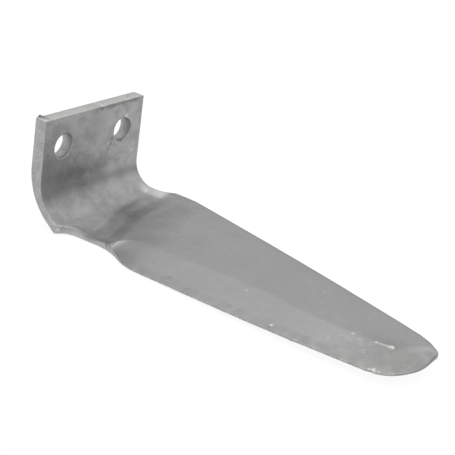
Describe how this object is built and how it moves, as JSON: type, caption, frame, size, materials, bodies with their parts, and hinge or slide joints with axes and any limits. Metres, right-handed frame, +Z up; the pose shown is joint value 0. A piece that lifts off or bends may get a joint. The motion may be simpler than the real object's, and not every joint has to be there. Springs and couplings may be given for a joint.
{
  "type": "harrow tine",
  "caption": "Forged knife tine for a power harrow: an upright flange that bolts to the rotor, bent into a long blade with a bevelled edge.",
  "frame": {"origin": "middle of the row of bolt holes, on the flange's seat face", "axes": "+X out of the flange and along the blade to its tip, +Y along the row of holes to the blade's thick far side, +Z up the flange, away from the blade"},
  "size_m": [0.305, 0.1079, 0.0771],
  "materials": {
    "paint": "satin grey paint, chipped to bare steel in places"
  },
  "bodies": {
    "root": {"harrow_tine": "paint"}
  },
  "joints": []
}
